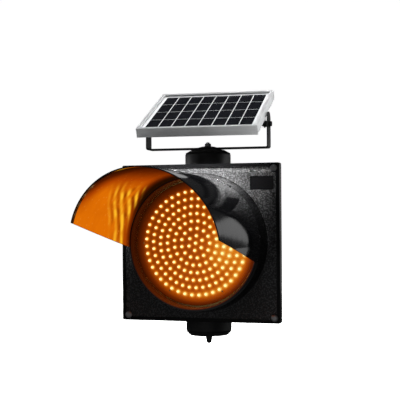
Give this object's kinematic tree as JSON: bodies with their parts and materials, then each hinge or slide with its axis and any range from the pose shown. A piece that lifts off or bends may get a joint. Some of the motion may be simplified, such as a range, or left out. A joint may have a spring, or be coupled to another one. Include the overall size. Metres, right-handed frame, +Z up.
{
  "type": "solar flashing traffic warning light",
  "caption": "Square black traffic warning light with a round amber LED field, a cutaway visor and a tilting solar panel on a swivelling U-bracket.",
  "frame": {"origin": "centre of the lower spigot's end face, on the spigot axis", "axes": "+Z up along the spigot axis, -Y the way the light shines, +X to the right of someone looking at the lens"},
  "size_m": [0.36, 0.5666, 0.5761],
  "materials": {
    "black_pc": "fine grained black polycarbonate",
    "shell_pc": "plain matt black polycarbonate",
    "visor_pc": "smooth glossy black polycarbonate",
    "rubber_black": "matt black rubber",
    "clear_pc": "clear polycarbonate lens",
    "zinc_steel": "bright zinc-plated steel",
    "black_steel": "black powder-coated steel",
    "stainless": "stainless steel",
    "frame_alu": "satin anodised aluminium extrusion",
    "panel_glass": "tempered low-iron glass",
    "cell_silicon": "near-black silicon cells",
    "backsheet_white": "white polymer backsheet",
    "tray_white": "light grey moulded plastic",
    "board_amber": "solder-masked circuit board lit amber",
    "board_green": "green circuit board",
    "component_black": "moulded component bodies",
    "terminal_green": "green terminal block",
    "led_amber": "lit amber LED lens",
    "brass": "plain brass",
    "battery_grey": "dark grey battery case",
    "wire_red": "red PVC insulation",
    "wire_black": "black PVC insulation",
    "switch_red": "red rocker"
  },
  "bodies": {
    "head": {"rear_shell": "shell_pc", "front_door": "black_pc", "door_gasket": "rubber_black", "door_screws": "zinc_steel", "visor": "visor_pc", "visor_screws": "black_steel", "lens": "clear_pc", "lens_gasket": "rubber_black", "led_tray": "tray_white", "tray_screws": "zinc_steel", "led_standoffs": "brass", "led_board": "board_amber", "board_screws": "zinc_steel", "leds": "led_amber", "spigot_gaskets": "rubber_black", "upper_cap": "shell_pc", "lower_cap": "shell_pc", "clamp_plates": "zinc_steel", "upper_bolt": "stainless", "lower_bolt": "stainless", "dome_washer": "black_steel", "upper_nut": "stainless", "acorn_nut": "black_steel", "battery": "battery_grey", "battery_terminals": "brass", "battery_cradle": "zinc_steel", "battery_strap": "component_black", "cradle_screws": "zinc_steel", "controller_board": "board_green", "controller_components": "component_black", "terminal_block": "terminal_green", "positive_leads": "wire_red", "negative_leads": "wire_black", "switch_body": "component_black", "gland_body": "component_black", "gland_nut": "component_black", "gland_seal": "rubber_black", "gland_locknut": "component_black"},
    "switch_rocker": {"switch_rocker": "switch_red"},
    "bracket": {"u_bracket": "black_steel", "pivot_bolts": "black_steel", "pivot_washers": "black_steel", "pivot_spacers": "black_steel", "pivot_nuts": "black_steel"},
    "panel": {"rail_front": "frame_alu", "rail_rear": "frame_alu", "rail_left": "frame_alu", "rail_right": "frame_alu", "corner_keys": "frame_alu", "panel_glass": "panel_glass", "solar_cells": "cell_silicon", "backsheet": "backsheet_white", "junction_box": "component_black", "junction_lid": "component_black", "junction_gland": "component_black", "panel_lugs": "black_steel", "lug_screws": "zinc_steel"}
  },
  "joints": [
    {"name": "bracket_swivel", "type": "hinge", "parent": "head", "child": "bracket", "pos_m": [0, 0, 0.405], "axis": [0, 0, 1], "range_deg": [-180, 180]},
    {"name": "panel_tilt", "type": "hinge", "parent": "bracket", "child": "panel", "pos_m": [0, 0, 0.458], "axis": [0.9976, 0.0698, 0], "range_deg": [-40, 26]},
    {"name": "rocker_tilt", "type": "hinge", "parent": "head", "child": "switch_rocker", "pos_m": [0.112, 0.0645, 0.232], "axis": [1, 0, 0], "range_deg": [0, 16]}
  ]
}
